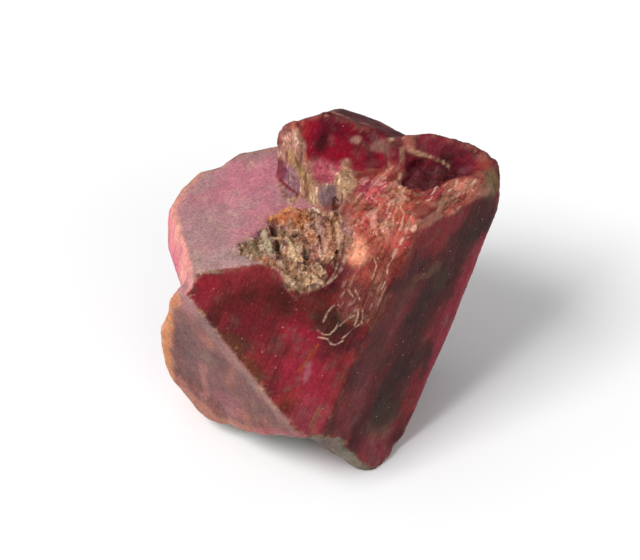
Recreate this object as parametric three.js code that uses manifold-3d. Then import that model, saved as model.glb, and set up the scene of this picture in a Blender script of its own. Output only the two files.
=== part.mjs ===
// Raw spinel crystal: a cluster of octahedral crystals grown together in parallel, with crumbs of the
// host rock still fused into the re-entrant corner between them. Millimetres, +Z up, origin at the
// centre of the underside of the bounding box.
import * as THREE from 'three';
import { ConvexGeometry } from 'three/addons/geometries/ConvexGeometry.js';
import { mergeVertices } from 'three/addons/utils/BufferGeometryUtils.js';
import Module from 'manifold-3d';

const wasm = await Module();
wasm.setup();

const fullTurn = Math.PI * 2;
const sameCorner = 1e-4;

// Every face is given as a mineralogist would: the compass bearing and the rise above level of its
// normal, in degrees, and its distance from the heart of the specimen, in millimetres. Bearing 0 is
// +Y and bearing 90 is +X. The heart stands this high above the resting face.
const heartHeight = 12.5;

// The growth faces that all the crystals share, so that their steps run parallel.
const growth = {
  front: { bearing: 180, rise: 32.4 },
  right: { bearing: 136.3, rise: 6 },
  left: { bearing: 221, rise: -7 },
  crown: { bearing: 306.3, rise: 82.7 },
  terrace: { bearing: 331, rise: 79.7 },
  backLeft: { bearing: 316.5, rise: -6 },
  backRight: { bearing: 41, rise: 7 },
  backUnder: { bearing: 0, rise: -32 },
};

// How far the main crystal's faces lie from the heart.
const reach = {
  front: 6.87, right: 7.24, left: 11.07, crown: 6.75, terrace: 8.6, backLeft: 11, backRight: 12.6, backUnder: 10.5,
};
const face = (bearing, rise, mm) => ({ bearing, rise, mm });
const grown = (name, mm = reach[name]) => ({ ...growth[name], mm });
const resting = face(0, -90, heartHeight);

function normalOf({ bearing, rise }) {
  const b = THREE.MathUtils.degToRad(bearing);
  const r = THREE.MathUtils.degToRad(rise);
  return new THREE.Vector3(Math.sin(b) * Math.cos(r), Math.cos(b) * Math.cos(r), Math.sin(r));
}

// A closed solid from a three.js geometry.
function solidFrom(geometry) {
  const bare = geometry.clone();
  bare.deleteAttribute('normal');
  bare.deleteAttribute('uv');
  const merged = mergeVertices(bare, sameCorner);
  return new wasm.Manifold(new wasm.Mesh({
    numProp: 3,
    vertProperties: new Float32Array(merged.attributes.position.array),
    triVerts: new Uint32Array(merged.index.array),
  }));
}

// The convex block that a set of faces encloses: its corners are where three faces meet and no
// other face cuts them off.
function block(...faces) {
  const planes = faces.map((f) => new THREE.Plane(normalOf(f), -f.mm));
  const corners = [];
  planes.forEach((a, i) => planes.slice(i + 1).forEach((b, j) => planes.slice(i + j + 2).forEach((c) => {
    const ab = new THREE.Vector3().crossVectors(a.normal, b.normal);
    const bc = new THREE.Vector3().crossVectors(b.normal, c.normal);
    const ca = new THREE.Vector3().crossVectors(c.normal, a.normal);
    const volume = a.normal.dot(bc);
    if (Math.abs(volume) < sameCorner) return;
    const corner = bc.multiplyScalar(-a.constant).addScaledVector(ca, -b.constant)
      .addScaledVector(ab, -c.constant).divideScalar(volume);
    if (planes.every((p) => p.distanceToPoint(corner) < sameCorner)) corners.push(corner);
  })));
  return solidFrom(new ConvexGeometry(corners));
}

// ---- The crystals ----

const back = [grown('backLeft'), grown('backRight'), grown('backUnder')];

// The hidden faces that the right-hand face runs out to, down the far side of the keel.
const rightKeel = [face(99.7, -18, 10.7), face(101.7, -20, 10.67), face(119.4, -33.7, 13.1)];

// The main crystal, whose front triangle is the biggest face.
const mainRim = [
  face(344, 42, 13), face(196, -49, 12.8), face(184, -50, 12.02),
  face(284, 39, 10.4), face(295, 22, 10), face(278, 4.5, 13.3), face(270, -5, 14.35),
  face(246, -31, 15.2), face(222, -45, 14.5),
];
const main = block(
  grown('front'), grown('right'), grown('left'), grown('crown'), ...back, ...rightKeel, ...mainRim, resting,
);

// The keel under its right face runs down to the tip that it stands on.
const keel = block(
  grown('front', 6), grown('right'), face(184.7, -23.7, 12.55), face(225, -40.6, 11.41), face(219, -43.4, 12.02),
  ...rightKeel, resting, grown('backUnder', 5), grown('backRight', 10), grown('left', 8), face(270, 0, 5),
  grown('crown', 3),
);

// The small lobe on the left rim.
const lobe = block(
  grown('left', 11.05), grown('front'), grown('crown', 5.2), face(305, 30, 8.67), face(275, 4, 12.9),
  face(222, -40, 8.3), face(41, 7, -9), face(100, 0, -10.3),
);

// The crystal at the upper left shares the front and the crown, and overhangs the notch above the lobe.
const upperLeft = [
  grown('front'), grown('left'), grown('crown'), grown('backUnder', 8), face(90, 0, 2), face(126, -82, 0),
  face(258, 18.6, 13), face(270, -3, 13.4), face(255, -14, 11.46), face(291, 17, 15.1), face(304, 27, 15.1),
];
const upperLeftNear = block(...upperLeft, face(347, 42, 11.96));
const upperLeftFar = block(...upperLeft, face(314, 32.6, 13.9), face(344, 42, 13));

// The right-hand terrace stands a step above the crown.
const terraceStep = face(265, 0, -1);
const terraceBlock = block(
  grown('front'), grown('right'), terraceStep, grown('terrace'), ...back, ...rightKeel,
  face(344, 42, 12.5), face(88, -5.5, 13.42), face(0, -90, 4),
);

// The crystal that stands up at the back: a dark wall, the ridge above it, and its broken left side.
const wallLeft = [face(299, 21, 10.7), face(284, 3.5, 6.7), face(272.7, -1, 5)];
const wallTop = [face(21, 40, 14.75), face(36, 35, 14.4)];
const wallBroken = face(228, 10, -0.99);
const wallDeep = [grown('backUnder', 9), grown('backRight'), face(0, -90, 2)];
const wall = block(
  grown('front', -0.75), face(55, 66, 12.83), face(347, 41, 14), face(337, 39.5, 13.8), ...wallTop,
  ...wallLeft, wallBroken, face(95, 0, 5.8), ...wallDeep,
);
const ridge = block(
  grown('front', -0.75), face(55, 66, 12.83), face(333, 38, 13.8), ...wallTop, ...wallLeft,
  wallBroken, face(95, 0, 9), ...wallDeep,
);
const riserLedge = block(
  face(235, 19.6, 1.43), grown('crown', 8.2), ...wallLeft, face(347, 41, 11), face(95, 0, 1.6),
  face(130, 20, 1.3), ...wallDeep,
);
const riser = block(
  face(171, 45.8, 1.85), face(236, 28.5, 1.5), ...wallLeft, face(95, 0, 1.6), grown('backUnder', 8),
  face(347, 41, 12), face(0, -90, 2),
);

// The crystal at the upper right.
const cornerBlock = block(
  grown('front', 0.28), grown('right'), face(262, 0, -5.4), face(352, 42, 11.74), face(23, 39.5, 14.55),
  face(35.5, 35.5, 15.7), face(80, 0, 14.5), face(88, -5.5, 13.42), ...rightKeel,
  grown('backRight', 14.3), grown('backUnder', 9.5), face(66, -12, 13.1), face(48, -41, 10), face(0, -90, 2),
);

// Growth plates on the hidden faces: the main crystal once more with one face a step further out,
// held between a few faces across it.
function plateOn(name, step, ...sides) {
  const others = ['front', 'right', 'left', 'crown', 'backLeft', 'backRight', 'backUnder']
    .filter((other) => other !== name).map((other) => grown(other));
  return block(grown(name, reach[name] + step), ...others, ...rightKeel, ...mainRim, resting, ...sides);
}
const backPlates = [
  plateOn('backRight', 0.6, face(131, 0, 5), face(311, 0, 4), face(41, 80, 5)),
  plateOn('backRight', 1.1, face(131, 0, 3), face(311, 5, 1), face(41, 80, 3)),
  plateOn('backLeft', 0.5, face(46, 10, 3), face(226, -8, 5.5), face(316, 70, 5)),
  plateOn('backUnder', 0.5, face(95, 4, 5), face(262, 0, 4)),
];

// ---- Fragments: angular crumbs, fused on or broken out ----

// A repeatable stream of numbers between 0 and 1, by the Park and Miller rule.
function randomStream(seed) {
  const multiplier = 16807;
  const modulus = 2147483647;
  let state = seed;
  return () => {
    state = (state * multiplier) % modulus;
    return state / modulus;
  };
}

// An angular fragment about `size` mm in radius: the hull of a dented icosahedron, turned at random.
const shortestReach = 0.7;
const reachSpread = 0.5;
function fragment(centre, size, random, flatten = 1) {
  const points = [];
  const position = new THREE.IcosahedronGeometry(1, 0).attributes.position;
  const turn = new THREE.Euler(random() * fullTurn, random() * fullTurn, random() * fullTurn);
  const seen = new Map();
  for (let i = 0; i < position.count; i += 1) {
    const p = new THREE.Vector3().fromBufferAttribute(position, i);
    const key = p.toArray().map((v) => v.toFixed(3)).join();
    if (!seen.has(key)) seen.set(key, shortestReach + reachSpread * random());
    p.multiplyScalar(size * seen.get(key));
    p.z *= flatten;
    points.push(p.applyEuler(turn).add(centre));
  }
  return solidFrom(new ConvexGeometry(points));
}

// A random place in an oval on a face: `long` and `wide` are the half sizes in mm, and `run` is the
// bearing of the long side.
function patchPoint({ on, centre, long, wide, run }, random) {
  const normal = normalOf(growth[on]);
  const along = normalOf({ bearing: run, rise: 0 }).projectOnPlane(normal).normalize();
  const across = new THREE.Vector3().crossVectors(normal, along);
  const angle = random() * fullTurn;
  const spread = Math.sqrt(random());
  return new THREE.Vector3(...centre)
    .addScaledVector(along, Math.cos(angle) * spread * long)
    .addScaledVector(across, Math.sin(angle) * spread * wide);
}

// Where two faces meet: the point of that edge nearest the heart, moved `t` mm along it.
function edgePoint(a, b, t) {
  const nA = normalOf(a);
  const nB = normalOf(b);
  const along = new THREE.Vector3().crossVectors(nA, nB).normalize();
  const c = nA.dot(nB);
  const k = 1 - c * c;
  return new THREE.Vector3()
    .addScaledVector(nA, (a.mm - b.mm * c) / k)
    .addScaledVector(nB, (b.mm - a.mm * c) / k)
    .addScaledVector(along, t);
}

// Host rock: crumbs packed into the corner between the crown, the terrace and the front, and rough
// rinds of it along the terrace and on the back. Sizes are the smallest and largest radius in mm.
const crumbPatches = [
  { on: 'crown', centre: [-3.0, -0.9, 6.35], long: 3.5, wide: 2.6, run: 30, count: 46, sizes: [0.5, 1.05] },
  { on: 'front', centre: [-2.0, -4.7, 5.4], long: 2.7, wide: 1.2, run: 90, count: 24, sizes: [0.4, 0.85] },
  { on: 'crown', centre: [0.7, -1.4, 7.3], long: 2.8, wide: 0.9, run: 350, count: 20, sizes: [0.5, 0.95] },
  { on: 'terrace', centre: [1.4, 3.6, 8.2], long: 2.6, wide: 0.8, run: 340, count: 14, sizes: [0.4, 0.75] },
  { on: 'terrace', centre: [3.4, 1.4, 8.35], long: 3.4, wide: 2.2, run: 20, count: 26, sizes: [0.4, 0.8] },
  { on: 'terrace', centre: [9.3, 1.6, 8.95], long: 4.2, wide: 0.9, run: 47, count: 26, sizes: [0.35, 0.65] },
  { on: 'backLeft', centre: [-8.4, 6.6, -2.0], long: 3.4, wide: 1.4, run: 46, count: 16, sizes: [0.4, 0.9] },
];

// Pits and hollows broken or weathered into it.
const pits = [
  { centre: [-2.7, -0.1, 7.1], size: 0.5 },
  { centre: [-2.1, -2.7, 7.2], size: 0.55 },
  { centre: [-4.4, 1.5, 6.7], size: 0.55 },
  { centre: [-5.2, -0.3, 6.9], size: 0.6 },
  { centre: [-4.9, -1.6, 6.9], size: 0.6 },
  { centre: [-0.6, -3.9, 7.0], size: 0.6 },
  { centre: [6.6, 4.6, 9.5], size: 1.35 },
  { centre: [8.2, 4.7, 9.6], size: 1.5 },
  { centre: [9.8, 4.1, 9.6], size: 1.1 },
  { centre: [-0.3, -6.3, 4.4], size: 0.8, flatten: 0.6 },
  { centre: [1.6, -6.6, 3.6], size: 0.95, flatten: 0.6 },
  { centre: [0.9, -8.2, 1.6], size: 0.7, flatten: 0.6 },
  { centre: [3.4, -5.5, 6.0], size: 0.9, flatten: 0.6 },
];

// Bruised edges: small chips knocked out where two faces meet, between two places along the edge.
const bruisedEdges = [
  { a: grown('front'), b: grown('right'), from: -13, to: 3.5, count: 9, sizes: [0.22, 0.5] },
  { a: grown('front'), b: grown('left'), from: -13, to: 6, count: 9, sizes: [0.25, 0.55] },
  { a: grown('front'), b: grown('crown'), from: -5, to: 13, count: 7, sizes: [0.2, 0.4] },
  { a: grown('terrace'), b: grown('right'), from: -12, to: 12, count: 9, sizes: [0.25, 0.55] },
  { a: grown('left'), b: mainRim[5], from: -6, to: 6, count: 6, sizes: [0.3, 0.6] },
  { a: grown('left'), b: mainRim[7], from: -6, to: 6, count: 7, sizes: [0.3, 0.6] },
  { a: grown('left'), b: mainRim[1], from: -6, to: 6, count: 5, sizes: [0.25, 0.5] },
  { a: grown('right'), b: rightKeel[0], from: -9, to: 9, count: 8, sizes: [0.25, 0.5] },
  { a: grown('right'), b: rightKeel[2], from: -6, to: 3, count: 4, sizes: [0.2, 0.4] },
  { a: grown('backLeft'), b: grown('backRight'), from: -8, to: 5, count: 8, sizes: [0.4, 0.9] },
  { a: grown('backRight'), b: rightKeel[0], from: -8, to: 8, count: 8, sizes: [0.4, 0.9] },
  { a: grown('backUnder'), b: grown('backRight'), from: -8, to: 8, count: 6, sizes: [0.4, 0.8] },
];

const random = randomStream(77);
const between = (low, high) => low + (high - low) * random();
const flattestCrumb = 0.55;
// A chip's centre lies outside the edge by this share of its radius, so that it bites shallowly.
const chipStandOff = 0.55;

// ---- The specimen: everything joined in one solid ----

let solid = main;
const joined = [
  keel, lobe, upperLeftNear, upperLeftFar, terraceBlock, wall, ridge, riserLedge, riser, cornerBlock, ...backPlates,
];
for (const piece of joined) solid = solid.add(piece);

// The broken, iron-stained slope beside the right edge falls a little to the left.
const clearOfIt = 20;
solid = solid.subtract(block(
  face(15, -36.4, -5.71), face(207, -44.6, 1.11), face(282, 13.3, 0.9),
  face(195, 36.4, clearOfIt), grown('right', clearOfIt), face(0, 90, clearOfIt),
));

for (const patch of crumbPatches) {
  for (let i = 0; i < patch.count; i += 1) {
    const size = between(...patch.sizes);
    solid = solid.add(fragment(patchPoint(patch, random), size, random, between(flattestCrumb, 1)));
  }
}
for (const pit of pits) {
  solid = solid.subtract(fragment(new THREE.Vector3(...pit.centre), pit.size, random, pit.flatten));
}
for (const edge of bruisedEdges) {
  for (let i = 0; i < edge.count; i += 1) {
    const size = between(...edge.sizes);
    const place = edgePoint(edge.a, edge.b, between(edge.from, edge.to));
    place.addScaledVector(place.clone().normalize(), size * chipStandOff);
    solid = solid.subtract(fragment(place, size, random));
  }
}

// Any bubble closed in between the crumbs is filled: only the outer skin is kept.
solid = solid.decompose().sort((a, b) => b.volume() - a.volume())[0];

const { min, max } = solid.boundingBox();
const mesh = solid.getMesh();
const geometry = new THREE.BufferGeometry();
geometry.setAttribute('position', new THREE.BufferAttribute(mesh.vertProperties, 3));
geometry.setIndex(new THREE.BufferAttribute(mesh.triVerts, 1));
geometry.computeVertexNormals();

const crystal = new THREE.Mesh(
  geometry,
  new THREE.MeshStandardMaterial({ color: 0x7a1f2b, roughness: 0.35, metalness: 0, flatShading: true }),
);
crystal.name = 'spinel_crystal';
crystal.position.set(-(min[0] + max[0]) / 2, -(min[1] + max[1]) / 2, -min[2]);
const specimen = new THREE.Group();
specimen.add(crystal);
export default specimen;
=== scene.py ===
import math

import bmesh
import bpy
import numpy as np
from mathutils import Matrix, Vector


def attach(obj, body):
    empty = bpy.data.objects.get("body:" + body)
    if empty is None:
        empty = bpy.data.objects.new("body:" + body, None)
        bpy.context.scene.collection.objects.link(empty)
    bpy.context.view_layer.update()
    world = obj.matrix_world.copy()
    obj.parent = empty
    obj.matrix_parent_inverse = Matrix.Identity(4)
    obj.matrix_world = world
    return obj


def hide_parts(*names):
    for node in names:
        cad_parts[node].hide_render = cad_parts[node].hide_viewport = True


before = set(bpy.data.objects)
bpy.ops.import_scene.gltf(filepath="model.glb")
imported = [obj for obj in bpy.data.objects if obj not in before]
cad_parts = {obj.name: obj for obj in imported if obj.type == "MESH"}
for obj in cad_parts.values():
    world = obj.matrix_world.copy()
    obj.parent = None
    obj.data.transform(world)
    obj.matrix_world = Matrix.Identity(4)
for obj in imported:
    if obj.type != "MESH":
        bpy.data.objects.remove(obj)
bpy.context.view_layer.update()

mm = 0.001

# The heart of the specimen, in mm in the part's frame: every place below is counted from it.
heart = np.array([0.04, -1.70, 12.5])

# Growth faces: compass bearing and rise of the normal in degrees, then mm from the heart.
growth = {
    "front": (180, 32.4, 6.87),
    "right": (136.3, 6, 7.24),
    "left": (221, -7, 11.07),
    "crown": (306.3, 82.7, 6.75),
    "terrace": (331, 79.7, 8.6),
    "wall": (180, 32.4, -0.75),
    "cornerWall": (180, 32.4, 0.28),
    "shoulder": (258, 18.6, 13),
    "rimLeft": (270, -3, 13.4),
    "rimTop": (291, 17, 15.1),
    "wallBack": (333, 38, 13.8),
    "cornerBack": (352, 42, 11.74),
    "backUpper": (41, 7, 14.3),
    "backLower": (41, 7, 12.6),
    "backUnder": (0, -32, 11),
    "backUnderRight": (0, -32, 10.5),
    "backUnderLeft": (0, -32, 8),
    "backLeft": (316.5, -6, 11.0),
    "backLeftStep": (316.5, -6, 11.5),
    "rightUnder": (100.7, -19, 10.7),
    "frontUnder": (184, -50, 12.02),
    "leftUnder": (246, -31, 15.2),
    "waist": (295, 22, 10),
    "waistUnder": (255, -14, 11.46),
    "sliver": (185, -23.6, 12.5),
    "sliverLeft": (221, -7, 8.0),
    "edgeRight": (66, -12, 13.1),
    "wallTop": (55, 66, 12.83),
    "cornerTop": (23, 39.5, 14.55),
    "base": (0, -90, 12.5),
}


def linear(hexColour):
    channels = [int(hexColour[i:i + 2], 16) / 255 for i in (0, 2, 4)]
    return np.array([c / 12.92 if c <= 0.04045 else ((c + 0.055) / 1.055) ** 2.4 for c in channels])


def normalOf(face):
    bearing, rise = (math.radians(v) for v in growth[face][:2])
    return np.array([math.sin(bearing) * math.cos(rise), math.cos(bearing) * math.cos(rise), math.sin(rise)])


def frameAlong(line, normal):
    # axes along a line, across it and out of the face that carries it
    along = line / np.linalg.norm(line)
    side = np.cross(normal, along)
    side /= np.linalg.norm(side)
    return np.stack([along, side, np.cross(along, side)])


# Growth lines run along the edge between the front and the right face. The host rock splinters across
# them, and the shards of the iron-stained ground lie in a third direction.
growthFrame = frameAlong(np.cross(normalOf("right"), normalOf("front")), normalOf("front"))
splinterFrame = frameAlong(np.array([0.38, -0.89, -0.27]), normalOf("crown"))
shardFrame = frameAlong(np.array([0.45, 0.88, 0.10]), normalOf("terrace"))


def smooth(low, high, x):
    t = np.clip((x - low) / (high - low), 0, 1)
    return t * t * (3 - 2 * t)


# Noise. Each pattern has a seed of its own, the whole number after its size, so that every run is the same.
# These large odd numbers stir the bits of a cell's place, and the masks keep the low bits.
stirX, stirY, stirZ, stirSeed = (np.uint64(v) for v in (374761393, 668265263, 2246822519, 3266489917))
low32, low24 = np.uint64(0xFFFFFFFF), np.uint64(0xFFFFFF)


def lattice(cell, seed):
    # one repeatable number between 0 and 1 for each cell of a grid
    c = cell.astype(np.int64).astype(np.uint64)
    n = c[:, 0] * stirX + c[:, 1] * stirY + c[:, 2] * stirZ
    n = (n + np.uint64(seed) * stirSeed) & low32
    n = ((n ^ (n >> np.uint64(15))) * stirZ) & low32
    n = ((n ^ (n >> np.uint64(13))) * stirSeed) & low32
    return ((n ^ (n >> np.uint64(16))) & low24).astype(float) / float(low24)


corners = np.array([[i, j, k] for i in (0, 1) for j in (0, 1) for k in (0, 1)])
neighbours = np.array([[i, j, k] for i in (-1, 0, 1) for j in (-1, 0, 1) for k in (-1, 0, 1)])


def cloud(p, size, seed):
    # soft noise between 0 and 1 whose lumps are `size` mm across
    q = p / size
    cell = np.floor(q)
    t = q - cell
    t = t * t * (3 - 2 * t)
    total = np.zeros(len(p))
    for corner in corners:
        weight = np.prod(np.where(corner == 1, t, 1 - t), axis=1)
        total += weight * lattice(cell + corner, seed)
    return total


layerShift = 31.7   # mm, keeps the layers of a cloud from lining up


def clouds(p, size, seed, layers=4, fade=0.5):
    # the same in layers, each half as large as the one before
    total = np.zeros(len(p))
    share = 0
    for layer in range(layers):
        total += cloud(p + layerShift * layer, size / 2 ** layer, seed + layer) * fade ** layer
        share += fade ** layer
    return total / share


def drawnOut(p, axes, squeeze):
    # places along other axes, the first one squeezed, so that what is laid there comes out long
    return p @ axes.T * np.array([squeeze, 1, 1])


def fibres(p, length, width, seed, layers=3, axes=growthFrame):
    # soft noise drawn out along the growth lines, or along the first of other axes
    return clouds(drawnOut(p, axes, width / length), width, seed, layers, 0.6)


def plates(p, size, seed):
    # ground broken into leaning plates: height in mm and a number for each plate
    q = p / size
    cell = np.floor(q)
    nearest = np.full(len(p), 9.0)   # cells, further than any middle can be
    number = np.zeros(len(p))
    height = np.zeros(len(p))
    for step in neighbours:
        home = cell + step
        away = q - home - np.stack([lattice(home, seed + k) for k in range(3)], axis=1)
        lean = np.stack([lattice(home, seed + 3 + k) for k in range(3)], axis=1) - 0.5
        distance = np.linalg.norm(away, axis=1)
        closer = distance < nearest
        number = np.where(closer, lattice(home, seed + 9), number)
        height = np.where(closer, np.sum(away * lean, axis=1), height)
        nearest = np.where(closer, distance, nearest)
    return height * size, number


def within(p, centre, radii, ragged=0.25, grain=1.6, seed=5, edge=0.3):
    # 1 inside an ellipsoid, 0 outside, with a ragged border
    d = np.linalg.norm((p - np.array(centre)) / np.array(radii), axis=1)
    near = d < 1 + edge + ragged
    out = np.zeros(len(p))
    d = d[near] + (clouds(p[near], grain, seed, 3) - 0.5) * 2 * ragged
    out[near] = 1 - smooth(1 - edge, 1 + edge, d)
    return out


lineCore, lineEnd = 0.5, 1.3   # a line is whole up to this share of its half width, and gone beyond that one
heightIgnored = 0.85           # how far heights over a named face are left out


def beside(p, line, width, ragged=0.3, grain=0.7, seed=5, face=None):
    # 1 on a line through points, 0 beyond its half width in mm
    squash = np.eye(3)
    if face is not None:
        squash -= heightIgnored * np.outer(normalOf(face), normalOf(face))
    q, line = p @ squash, np.array(line) @ squash
    d = np.full(len(p), 99.0)   # mm, further than any point of the specimen
    for start, end in zip(line[:-1], line[1:]):
        step = end - start
        t = np.clip((q - start) @ step / (step @ step), 0, 1)
        d = np.minimum(d, np.linalg.norm(q - start - t[:, None] * step, axis=1))
    near = d < width * (lineEnd + ragged)
    out = np.zeros(len(p))
    d = d[near] / width + (clouds(p[near], grain, seed, 2) - 0.5) * 2 * ragged
    out[near] = 1 - smooth(lineCore, lineEnd, d)
    return out


clusterShape = {
    "pointStep": 0.22,       # mm between the points on the growth faces, half that on broken ground
    "edgeWear": 0.8,         # how far edges are rounded
    "edgeGain": 0.12,        # mm, gives back what wear and chips take from the outline
    "chipDepth": 0.28,       # mm
    "chipSize": 1.9,         # mm
    "nickDepth": 0.15,       # mm
    "nickSize": 0.9,         # mm
    "faceSwell": 0.07,       # mm, the slow undulation of the growth faces
    "swellSize": 3.2,        # mm
    "growthLines": 0.03,     # mm
    "lineLength": 5,         # mm
    "lineWidth": 0.55,       # mm
    "pitDepth": 0.06,        # mm
    "pitSize": 0.8,          # mm
    "rockLumps": 0.30,       # mm, the host rock
    "rockSplinters": 0.26,   # mm
    "rockPlates": 0.9,       # how far its chips lean
    "rockPlateSize": 0.62,   # mm, the larger chips
    "rockChipSize": 0.27,    # mm, the smaller ones
    "crustLumps": 0.30,      # mm, the broken iron-stained ground
    "crustPlates": 0.30,     # how far its plates lean
    "crustPlateSize": 1.3,   # mm
    "crustShardSize": 0.65,  # mm, the thin shards on its upper part
    "crustStrands": 0.08,    # mm
    "crustLump": 0.3,        # mm, the orange lump beside the host rock
    "ribs": 0.22,            # mm, on the step behind the crown
    "holeDepth": 0.7,        # mm, the holes in the host rock
    "hollowDepth": 0.5,      # mm, the dark hollow in the terrace
    "knob": 0.15,            # mm, above the hollow
    "ridges": 0.14,          # mm, round the hollow
    "meltRounds": 500,       # evens out the foot of the iron-stained ground
    "settleRounds": 20,      # eases folded faces at the end
}

# Kinds of ground: centre and half sizes in mm, raggedness, grain in mm, seed, width of the border.
groundPlaces = {
    "rock": [
        ((-3.1, -0.9, 6.6), (3.3, 2.5, 1.9), 0.3, 1.5, 11, 0.14),
        ((-2.8, 1.7, 6.7), (2.5, 1.3, 1.2), 0.3, 1.0, 10, 0.14),
        ((-6.2, -1.9, 6.3), (1.5, 1.2, 0.8), 0.4, 0.7, 8, 0.14),
        ((-3.8, -3.1, 6.6), (2.6, 1.4, 1.0), 0.3, 0.8, 6, 0.14),
        ((-2.3, -4.5, 5.7), (2.1, 1.4, 1.6), 0.35, 1.0, 12, 0.14),
        ((-1.7, -2.7, 6.5), (2.5, 1.5, 1.3), 0.3, 1.0, 9, 0.2),
        ((0.2, -1.0, 7.3), (1.5, 2.6, 1.3), 0.35, 1.2, 13, 0.5),
    ],
    "riser": [   # the step behind the crown
        ((-3.2, 6.6, 7.8), (1.3, 3.2, 3.4), 0.15, 1.0, 14, 0.14),
        ((-0.9, 4.6, 7.6), (2.4, 2.6, 1.6), 0.15, 1.0, 21, 0.14),
        ((1.2, 3.6, 8.3), (1.0, 3.0, 1.0), 0.35, 0.8, 22, 0.2),
    ],
    "crust": [   # the iron-stained ground
        ((3.6, -2.6, 7.6), (3.0, 3.4, 3.2), 0.22, 1.5, 15, 0.2),
        ((2.6, -5.4, 4.2), (2.1, 1.9, 2.5), 0.3, 1.2, 16, 0.2),
        ((4.4, 1.4, 8.7), (3.0, 4.0, 1.3), 0.22, 1.5, 17, 0.16),
        ((9.4, 1.6, 9.2), (4.6, 1.9, 1.3), 0.25, 1.5, 18, 0.2),
        ((6.4, -1.7, 8.9), (1.1, 1.3, 0.7), 0.25, 1.0, 7, 0.2),
    ],
    "hollow": [
        ((7.5, 4.2, 8.9), (1.8, 1.6, 1.0), 0.35, 0.9, 19, 0.25),
        ((9.5, 4.7, 8.9), (1.8, 1.1, 0.9), 0.40, 0.9, 23, 0.4),
    ],
    "backRock": [((-8.4, 6.8, -1.8), (4.0, 2.6, 2.4), 0.35, 1.6, 20, 0.2)],
}
fineFoot = (0.4, -6.4, 2.4), (2.6, 1.8, 2.6)      # the threads below the crust need close points as well
meltedFoot = (0.7, -5.2, 4.2), (2.2, 2.6, 3.2)    # where the solid's coarse facets are smoothed away


def regionsOf(p):
    # where each kind of ground lies, as numbers from 0 to 1
    ground = {kind: np.maximum.reduce([within(p, *place) for place in places])
              for kind, places in groundPlaces.items()}
    ground["riser"] = np.clip(ground["riser"] - ground["rock"], 0, 1)
    ground["crust"] = np.clip(ground["crust"] - ground["rock"] - ground["riser"] - ground["hollow"], 0, 1)
    ground["rock"] = np.maximum(ground["rock"], ground.pop("backRock"))
    return ground


def denseCopy(node, step):
    # the part's own mesh with even, close points
    piece = bpy.data.objects.new("spinelCluster", node.data.copy())
    bpy.context.scene.collection.objects.link(piece)
    remesh = piece.modifiers.new("even points", "REMESH")
    remesh.mode = "VOXEL"
    remesh.voxel_size = step * mm
    evaluated = piece.evaluated_get(bpy.context.evaluated_depsgraph_get())
    mesh = bpy.data.meshes.new_from_object(evaluated)
    piece.modifiers.clear()
    piece.data = mesh

    # broken ground gets points twice as close
    p = pointsOf(mesh)
    fine = np.maximum.reduce([*regionsOf(p).values(), within(p, *fineFoot, 0)]) > 0.3
    work = bmesh.new()
    work.from_mesh(mesh)
    work.verts.ensure_lookup_table()
    edges = [edge for edge in work.edges if fine[edge.verts[0].index] and fine[edge.verts[1].index]]
    bmesh.ops.subdivide_edges(work, edges=edges, cuts=1, use_grid_fill=True)
    work.to_mesh(mesh)
    work.free()
    return piece


def pointsOf(mesh):
    # in mm from the heart
    co = np.zeros(len(mesh.vertices) * 3)
    mesh.vertices.foreach_get("co", co)
    return co.reshape(-1, 3) / mm - heart


def setPoints(mesh, points):
    mesh.vertices.foreach_set("co", ((points + heart) * mm).ravel())
    mesh.update()


def normalsOf(mesh):
    n = np.zeros(len(mesh.vertices) * 3)
    mesh.vertices.foreach_get("normal", n)
    return n.reshape(-1, 3)


def edgesOf(mesh):
    pairs = np.zeros(len(mesh.edges) * 2, dtype=np.int64)
    mesh.edges.foreach_get("vertices", pairs)
    return pairs.reshape(-1, 2)


def relaxed(values, pairs, rounds):
    # each value moves halfway to the mean of its neighbours, a few times over
    count = np.bincount(pairs.ravel(), minlength=len(values)).astype(float)
    out = values.copy()
    for _ in range(rounds):
        total = np.stack([
            np.bincount(pairs[:, 0], out[pairs[:, 1], k], len(out)) +
            np.bincount(pairs[:, 1], out[pairs[:, 0], k], len(out)) for k in range(out.shape[1])], axis=1)
        out = 0.5 * out + 0.5 * total / count[:, None]
    return out


def melted(values, pairs, weight, rounds):
    # the same, many times over, for the points that carry a weight
    near = pairs[(weight[pairs] > 0).any(axis=1)]
    points, local = np.unique(near, return_inverse=True)
    local = local.reshape(-1, 2)
    part = values[points]
    for _ in range(rounds):
        part += (relaxed(part, local, 1) - part) * weight[points, None]
    out = values.copy()
    out[points] = part
    return out


def settled(mesh, pairs, rounds):
    # eases the points where a face has turned over against its neighbours
    point = np.zeros(len(mesh.loops), dtype=np.int64)
    mesh.loops.foreach_get("vertex_index", point)
    sides = np.zeros(len(mesh.polygons), dtype=np.int64)
    mesh.polygons.foreach_get("loop_total", sides)
    owner = np.repeat(np.arange(len(sides)), sides)
    for _ in range(rounds):
        facing = np.zeros(len(sides) * 3)
        mesh.polygons.foreach_get("normal", facing)
        agree = np.einsum("ij,ij->i", facing.reshape(-1, 3)[owner], normalsOf(mesh)[point])
        lowest = np.ones(len(mesh.vertices))
        np.minimum.at(lowest, point, agree)
        p = pointsOf(mesh)
        setPoints(mesh, p + (relaxed(p, pairs, 1) - p) * smooth(0.5, 0.15, lowest)[:, None])


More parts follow.
